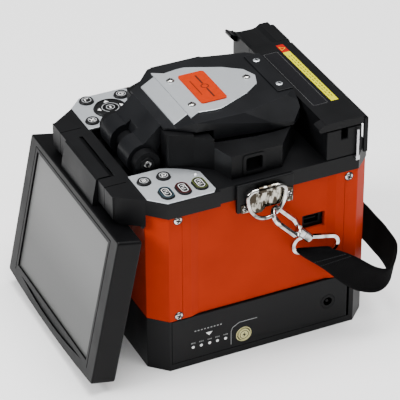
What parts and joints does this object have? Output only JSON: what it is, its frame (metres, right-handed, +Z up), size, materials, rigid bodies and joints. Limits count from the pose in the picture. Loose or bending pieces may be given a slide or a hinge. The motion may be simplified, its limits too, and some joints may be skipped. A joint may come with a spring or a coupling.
{
  "type": "fiber fusion splicer",
  "caption": "Bench fiber fusion splicer with tilting monitor, opening wind cover, tube heater, keypad, slide-in battery and carry strap on side rings.",
  "frame": {"origin": "centre of the base tray's resting face", "axes": "+X to the operator's right, +Y away from the operator, +Z up; the monitor hangs at the -Y end"},
  "size_m": [0.1644, 0.2128, 0.1575],
  "materials": {
    "black_cast": "satin",
    "black_deck": "satin",
    "orange_paint": "satin",
    "chrome": "polished",
    "black_plastic": "matte",
    "silver_trim": "satin",
    "machined": "satin",
    "brass": "satin",
    "board": "matte",
    "steel": "satin",
    "webbing": "woven",
    "screen": "gloss",
    "black_gloss": "gloss",
    "orange_badge": "gloss",
    "window": "gloss",
    "button_yellow": "satin",
    "key_black": "satin",
    "key_blue": "satin",
    "key_red": "satin",
    "key_green": "satin"
  },
  "bodies": {
    "root": {"base_tray": "black_cast", "front_panel": "orange_paint", "rear_panel": "orange_paint", "right_side_panel": "orange_paint", "left_side_panel": "orange_paint", "panel_screws": "chrome", "port_socket": "black_plastic", "top_deck": "black_deck", "splice_chamber": "black_deck", "keypad_plates": "silver_trim", "alignment_base": "machined", "v_grooves": "machined", "electrodes": "brass", "microscopes": "black_plastic", "motors": "machined", "main_board": "board", "heater_body": "black_cast", "heater_plate": "machined", "hinge_pins": "steel", "lid_rod": "chrome", "strap_brackets": "black_cast", "ring_clamps": "chrome", "carry_strap": "webbing"},
    "monitor": {"monitor_bezel": "black_plastic", "monitor_back": "black_plastic", "lcd_panel": "black_plastic", "screen_glass": "screen", "monitor_neck": "black_deck"},
    "wind_cover": {"cover_shell": "black_gloss", "cover_plate": "silver_trim", "latch_plate": "black_gloss", "fibre_pressers": "black_plastic", "cover_badge": "orange_badge"},
    "heater_lid": {"heater_lid": "black_cast", "heater_window": "window"},
    "heater_clamp_left": {"heater_clamp_left": "black_cast"},
    "battery": {"battery_case": "black_cast", "battery_cells": "board", "dc_jack": "black_plastic"},
    "battery_button": {"battery_button": "button_yellow"},
    "key_menu": {"key_menu": "key_black"},
    "key_power": {"key_power": "key_black"},
    "key_close": {"key_close": "key_black"},
    "key_zoom": {"key_zoom": "key_black"},
    "key_arc": {"key_arc": "key_black"},
    "key_blue": {"key_blue": "key_blue"},
    "key_red": {"key_red": "key_red"},
    "key_green": {"key_green": "key_green"},
    "dpad": {"dpad": "key_black"},
    "key_ok": {"key_ok": "key_black"},
    "d_ring_left": {"d_ring_left": "chrome"},
    "snap_hook_left": {"snap_hook_left": "chrome"},
    "hook_gate_left": {"hook_gate_left": "chrome"},
    "strap_ring_left": {"strap_ring_left": "chrome"},
    "sheath_lid_left": {"sheath_lid_left": "machined"},
    "d_ring_right": {"d_ring_right": "chrome"},
    "snap_hook_right": {"snap_hook_right": "chrome"},
    "hook_gate_right": {"hook_gate_right": "chrome"},
    "strap_ring_right": {"strap_ring_right": "chrome"},
    "sheath_lid_right": {"sheath_lid_right": "machined"}
  },
  "joints": [
    {"name": "monitor_tilt", "type": "hinge", "parent": "root", "child": "monitor", "pos_m": [0, -0.088, 0.1178], "axis": [-1, 0, 0], "range_deg": [-11, 95]},
    {"name": "wind_cover_hinge", "type": "hinge", "parent": "root", "child": "wind_cover", "pos_m": [0, -0.0605, 0.1295], "axis": [1, 0, 0], "range_deg": [0, 100]},
    {"name": "heater_lid_hinge", "type": "hinge", "parent": "root", "child": "heater_lid", "pos_m": [0, 0.069, 0.148], "axis": [-1, 0, 0], "range_deg": [0, 100]},
    {"name": "heater_clamp_hinge", "type": "hinge", "parent": "root", "child": "heater_clamp_left", "pos_m": [0, 0.069, 0.148], "axis": [-1, 0, 0], "range_deg": [0, 100]},
    {"name": "key_menu_press", "type": "slide", "parent": "root", "child": "key_menu", "axis": [0, 0, -1], "range_m": [0, 0.0006], "stiffness_N_per_m": 400, "springref_m": -0.0006},
    {"name": "key_power_press", "type": "slide", "parent": "root", "child": "key_power", "axis": [0, 0, -1], "range_m": [0, 0.0006], "stiffness_N_per_m": 400, "springref_m": -0.0006},
    {"name": "key_close_press", "type": "slide", "parent": "root", "child": "key_close", "axis": [0, 0, -1], "range_m": [0, 0.0006], "stiffness_N_per_m": 400, "springref_m": -0.0006},
    {"name": "key_zoom_press", "type": "slide", "parent": "root", "child": "key_zoom", "axis": [0, 0, -1], "range_m": [0, 0.0006], "stiffness_N_per_m": 400, "springref_m": -0.0006},
    {"name": "key_arc_press", "type": "slide", "parent": "root", "child": "key_arc", "axis": [0, 0, -1], "range_m": [0, 0.0006], "stiffness_N_per_m": 400, "springref_m": -0.0006},
    {"name": "key_blue_press", "type": "slide", "parent": "root", "child": "key_blue", "axis": [0, 0, -1], "range_m": [0, 0.0006], "stiffness_N_per_m": 400, "springref_m": -0.0006},
    {"name": "key_red_press", "type": "slide", "parent": "root", "child": "key_red", "axis": [0, 0, -1], "range_m": [0, 0.0006], "stiffness_N_per_m": 400, "springref_m": -0.0006},
    {"name": "key_green_press", "type": "slide", "parent": "root", "child": "key_green", "axis": [0, 0, -1], "range_m": [0, 0.0006], "stiffness_N_per_m": 400, "springref_m": -0.0006},
    {"name": "dpad_press", "type": "slide", "parent": "root", "child": "dpad", "axis": [0, 0, -1], "range_m": [0, 0.0006], "stiffness_N_per_m": 400, "springref_m": -0.0006},
    {"name": "key_ok_press", "type": "slide", "parent": "root", "child": "key_ok", "axis": [0, 0, -1], "range_m": [0, 0.0006], "stiffness_N_per_m": 400, "springref_m": -0.0006},
    {"name": "battery_slide", "type": "slide", "parent": "root", "child": "battery", "axis": [1, 0, 0], "range_m": [0, 0.105]},
    {"name": "battery_button_press", "type": "slide", "parent": "battery", "child": "battery_button", "axis": [-1, 0, 0], "range_m": [0, 0.0012], "stiffness_N_per_m": 400, "springref_m": -0.0006},
    {"name": "d_ring_left_swing", "type": "hinge", "parent": "root", "child": "d_ring_left", "pos_m": [-0.0715, -0.0012, 0.1216], "axis": [0, 1, 0], "range_deg": [0, 75], "deforming": ["carry_strap"]},
    {"name": "snap_hook_left_swing", "type": "hinge", "parent": "d_ring_left", "child": "snap_hook_left", "pos_m": [-0.0715, 0.0048, 0.1023], "axis": [0, 0.8271, 0.5621], "range_deg": [-2, 20], "deforming": ["carry_strap"]},
    {"name": "hook_gate_left_pivot", "type": "hinge", "parent": "snap_hook_left", "child": "hook_gate_left", "pos_m": [-0.07799, 0.01524, 0.08665], "axis": [-0.5736, 0.5923, 0.5659], "range_deg": [-20, 0], "stiffness_Nm_per_rad": 0.002},
    {"name": "strap_ring_left_swivel", "type": "hinge", "parent": "snap_hook_left", "child": "strap_ring_left", "pos_m": [-0.0734, 0.02326, 0.08291], "axis": [0, 0.6908, -0.7231], "range_deg": [-8, 8], "deforming": ["carry_strap"]},
    {"name": "sheath_lid_left_hinge", "type": "hinge", "parent": "root", "child": "sheath_lid_left", "pos_m": [-0.031, 0.0085, 0.1358], "axis": [-1, 0, 0], "range_deg": [0, 70]},
    {"name": "d_ring_right_swing", "type": "hinge", "parent": "root", "child": "d_ring_right", "pos_m": [0.0715, -0.0012, 0.1216], "axis": [0, -1, 0], "range_deg": [0, 75], "deforming": ["carry_strap"]},
    {"name": "snap_hook_right_swing", "type": "hinge", "parent": "d_ring_right", "child": "snap_hook_right", "pos_m": [0.0715, 0.0048, 0.1023], "axis": [0, -0.8271, -0.5621], "range_deg": [-2, 20], "deforming": ["carry_strap"]},
    {"name": "hook_gate_right_pivot", "type": "hinge", "parent": "snap_hook_right", "child": "hook_gate_right", "pos_m": [0.07799, 0.01524, 0.08665], "axis": [-0.5736, -0.5923, -0.5659], "range_deg": [-20, 0], "stiffness_Nm_per_rad": 0.002},
    {"name": "strap_ring_right_swivel", "type": "hinge", "parent": "snap_hook_right", "child": "strap_ring_right", "pos_m": [0.0734, 0.02326, 0.08291], "axis": [0, 0.6908, -0.7231], "range_deg": [-8, 8], "deforming": ["carry_strap"]},
    {"name": "sheath_lid_right_hinge", "type": "hinge", "parent": "root", "child": "sheath_lid_right", "pos_m": [0.031, 0.0085, 0.1358], "axis": [-1, 0, 0], "range_deg": [0, 70]}
  ],
  "couplings": [
    {"joint": "sheath_lid_left_hinge", "follows": "wind_cover_hinge", "ratio": 0.7},
    {"joint": "sheath_lid_right_hinge", "follows": "wind_cover_hinge", "ratio": 0.7}
  ]
}
